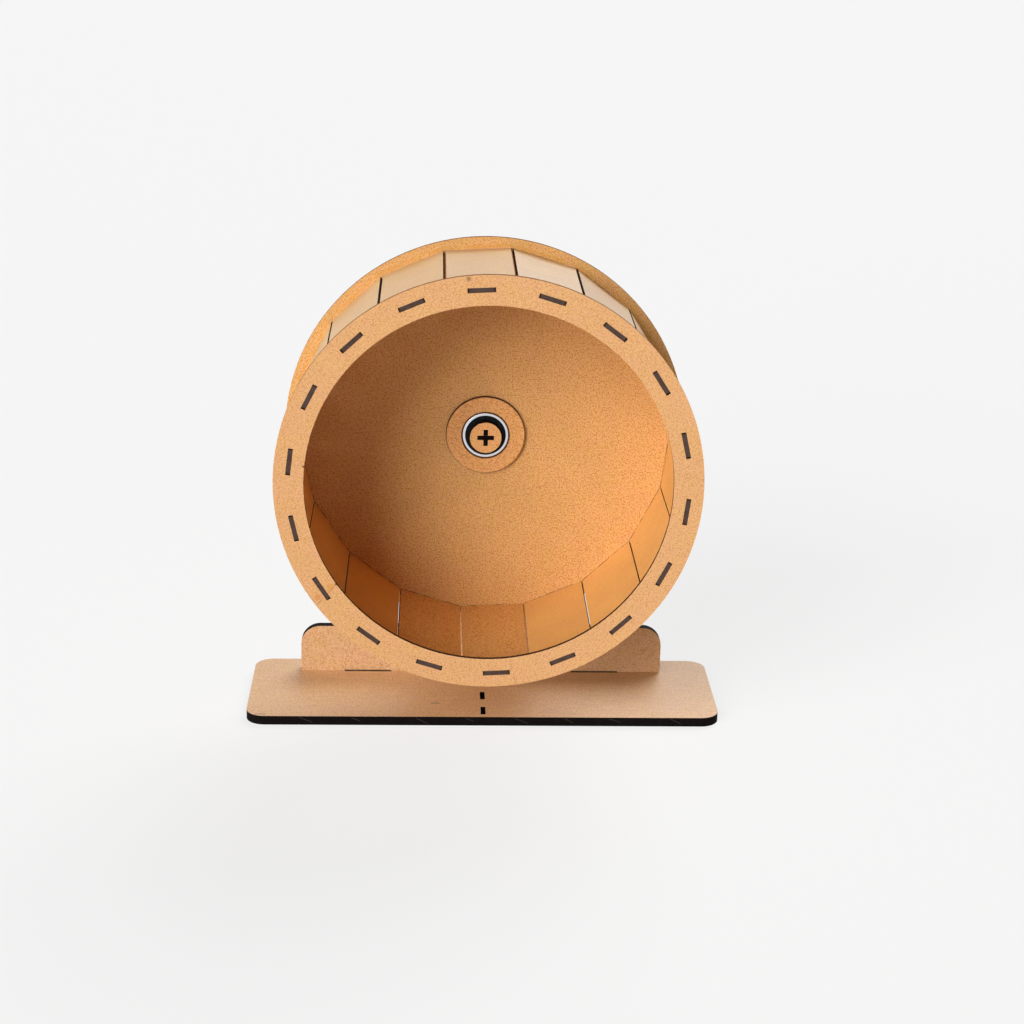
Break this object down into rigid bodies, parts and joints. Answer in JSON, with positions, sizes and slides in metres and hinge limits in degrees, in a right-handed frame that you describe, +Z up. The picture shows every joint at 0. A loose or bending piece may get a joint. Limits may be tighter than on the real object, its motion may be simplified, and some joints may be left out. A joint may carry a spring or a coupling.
{
  "type": "rodent exercise wheel",
  "caption": "Free-standing exercise wheel for a small rodent: a drum of flat boards, open at the front, turns on a ball bearing in front of one upright on a flat base.",
  "frame": {"origin": "centre of the object's footprint, on the underside of the base board", "axes": "+Z up, +X across the wheel, +Y from the drum's open front to the upright; the wheel turns about Y"},
  "size_m": [0.331, 0.1536, 0.3305],
  "materials": {
    "base_board": "raw fibreboard with burnt edges",
    "upright_board": "raw fibreboard with burnt edges",
    "ring_board": "raw fibreboard with burnt edges",
    "disc_board": "raw fibreboard with burnt edges",
    "slat_board": "smooth board with burnt edges",
    "hub_board": "raw fibreboard with burnt edges",
    "cap_board": "raw fibreboard with burnt edges",
    "axle_board": "burnt board",
    "bearing_steel": "ground",
    "ball_steel": "polished",
    "cage_steel": "plain",
    "seal_rubber": "satin"
  },
  "bodies": {
    "stand": {"base_plate": "base_board", "upright": "upright_board", "axle_strip_upright": "axle_board", "axle_strip_flat": "axle_board", "front_cap": "cap_board", "rear_cap": "cap_board", "spacer_disc": "hub_board", "bearing_inner_ring": "bearing_steel"},
    "wheel": {"front_ring": "ring_board", "back_disc": "disc_board", "hub_ring_front": "hub_board", "hub_ring_rear": "hub_board", "bearing_outer_ring": "bearing_steel", "bearing_seal_front": "seal_rubber", "bearing_seal_rear": "seal_rubber", "slat_01": "slat_board", "slat_02": "slat_board", "slat_03": "slat_board", "slat_04": "slat_board", "slat_05": "slat_board", "slat_06": "slat_board", "slat_07": "slat_board", "slat_08": "slat_board", "slat_09": "slat_board", "slat_10": "slat_board", "slat_11": "slat_board", "slat_12": "slat_board", "slat_13": "slat_board", "slat_14": "slat_board", "slat_15": "slat_board", "slat_16": "slat_board", "slat_17": "slat_board", "slat_18": "slat_board"},
    "ball_train": {"bearing_balls": "ball_steel", "bearing_cage": "cage_steel"}
  },
  "joints": [
    {"name": "wheel_spin", "type": "hinge", "parent": "stand", "child": "wheel", "pos_m": [0, 0.04725, 0.1905], "axis": [0, 1, 0], "continuous": true},
    {"name": "ball_train_spin", "type": "hinge", "parent": "stand", "child": "ball_train", "pos_m": [0, 0.04725, 0.1905], "axis": [0, 1, 0], "continuous": true}
  ],
  "couplings": [
    {"joint": "ball_train_spin", "follows": "wheel_spin", "ratio": 0.6352}
  ]
}
